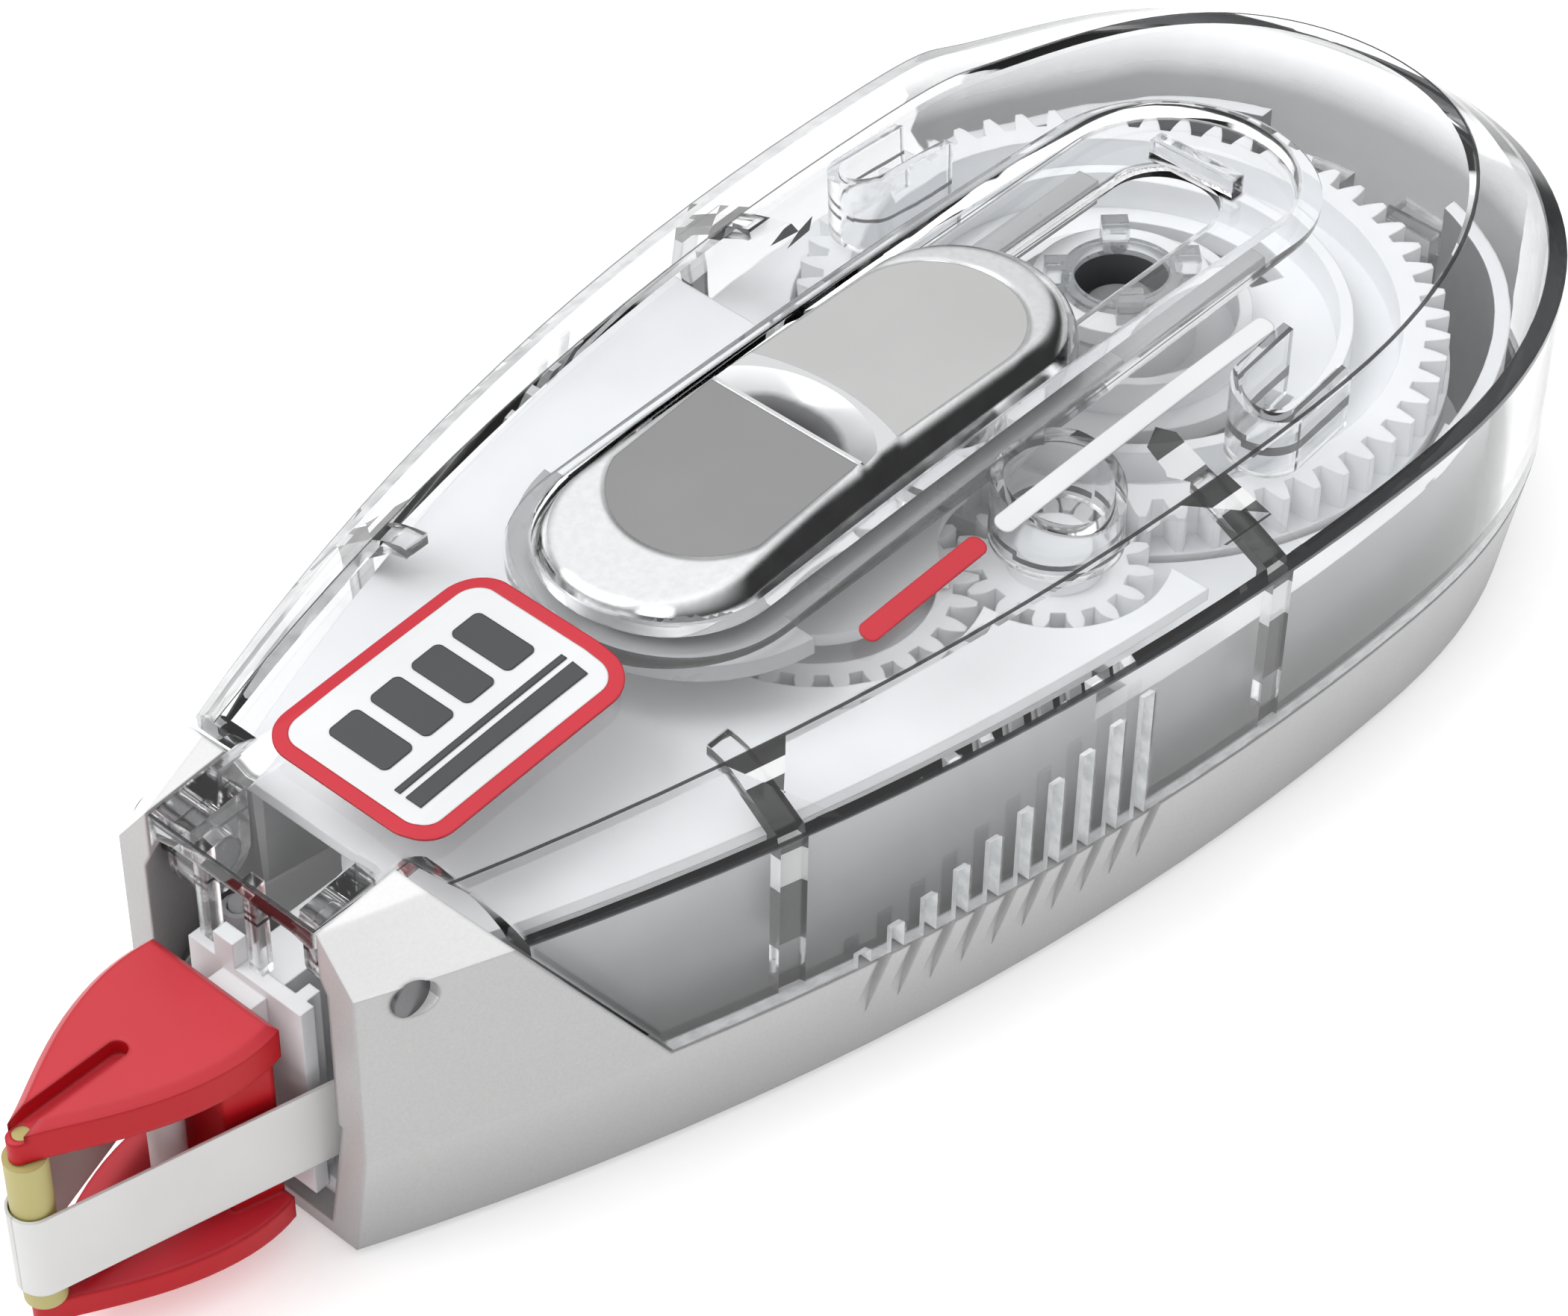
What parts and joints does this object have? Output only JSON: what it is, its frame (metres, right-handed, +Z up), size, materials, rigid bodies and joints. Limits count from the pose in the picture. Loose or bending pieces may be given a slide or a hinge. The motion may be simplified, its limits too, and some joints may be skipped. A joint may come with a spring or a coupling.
{
  "type": "correction tape roller",
  "caption": "Refillable correction tape roller: clear teardrop cover over a silver shell, chrome slider, geared refill cassette and red tip.",
  "frame": {"origin": "foot of the supply reel's axis on the resting plane", "axes": "+X from the red tip to the round tail, +Z up out of the clear cover, -Y is the side with the idler gear"},
  "size_m": [0.086, 0.0352, 0.0206],
  "materials": {
    "silver": "satin metallic silver paint over plastic",
    "steel": "turned",
    "clear": "clear polished plastic",
    "hub_clear": "clear polished plastic",
    "label_white": "printed",
    "label_red": "printed",
    "label_grey": "printed",
    "chrome": "bright satin chrome",
    "pad_grey": "fine matte",
    "pad_light": "fine matte",
    "skirt_grey": "satin",
    "white": "satin moulded",
    "clutch": "moulded",
    "tape": "matte coated tape",
    "carrier": "waxed paper",
    "red": "satin gloss",
    "olive": "moulded"
  },
  "bodies": {
    "case": {"bottom_shell": "silver", "hinge_pins": "steel", "cassette_base": "white", "cassette_plate": "white", "idler_cap": "white", "tip_head": "red", "tip_post": "white", "tip_axle": "olive", "tape_out": "tape", "tape_return": "carrier"},
    "cover": {"top_cover": "clear", "label_field": "label_white", "label_border": "label_red", "label_bars": "label_grey", "print_bar_red": "label_red", "print_bar_white": "label_white"},
    "slider": {"slider_button": "chrome", "slider_front_pad": "pad_grey", "slider_rear_pad": "pad_light", "slider_skirt": "skirt_grey", "slider_fork": "skirt_grey"},
    "supply_reel": {"supply_gear": "white", "supply_spool": "white", "clutch_spring": "clutch", "supply_tape": "tape", "hub_ring": "hub_clear"},
    "idler": {"idler_gear": "white"},
    "takeup_reel": {"takeup_gear": "white", "takeup_spool": "white", "takeup_tape": "carrier"},
    "roller": {"tip_roller": "olive"},
    "guide_out": {"guide_roller_out": "white"},
    "guide_near": {"guide_roller_near": "white"},
    "guide_far": {"guide_roller_far": "white"}
  },
  "joints": [
    {"name": "cover_hinge", "type": "hinge", "parent": "case", "child": "cover", "pos_m": [-0.0507, 0, 0.0145], "axis": [0, -1, 0], "range_deg": [0, 60]},
    {"name": "slider_slide", "type": "slide", "parent": "cover", "child": "slider", "axis": [1, 0, 0], "range_m": [0, 0.0105]},
    {"name": "supply_spin", "type": "hinge", "parent": "case", "child": "supply_reel", "pos_m": [0, 0, 0.008], "axis": [0, 0, 1], "continuous": true},
    {"name": "idler_spin", "type": "hinge", "parent": "case", "child": "idler", "pos_m": [-0.01521, -0.00857, 0.008], "axis": [0, 0, 1], "continuous": true},
    {"name": "takeup_spin", "type": "hinge", "parent": "case", "child": "takeup_reel", "pos_m": [-0.02281, -0.00216, 0.008], "axis": [0, 0, 1], "continuous": true},
    {"name": "tip_roller_spin", "type": "hinge", "parent": "case", "child": "roller", "pos_m": [-0.0637, 0, 0.008], "axis": [0, 0, 1], "continuous": true},
    {"name": "guide_out_spin", "type": "hinge", "parent": "case", "child": "guide_out", "pos_m": [-0.0289, -0.0093, 0.008], "axis": [0, 0, 1], "continuous": true},
    {"name": "guide_near_spin", "type": "hinge", "parent": "case", "child": "guide_near", "pos_m": [-0.0487, -0.0055, 0.008], "axis": [0, 0, 1], "continuous": true},
    {"name": "guide_far_spin", "type": "hinge", "parent": "case", "child": "guide_far", "pos_m": [-0.0487, 0.0049, 0.008], "axis": [0, 0, 1], "continuous": true}
  ],
  "couplings": [
    {"joint": "idler_spin", "follows": "supply_spin", "ratio": -3.8},
    {"joint": "takeup_spin", "follows": "supply_spin", "ratio": 2.1923}
  ]
}
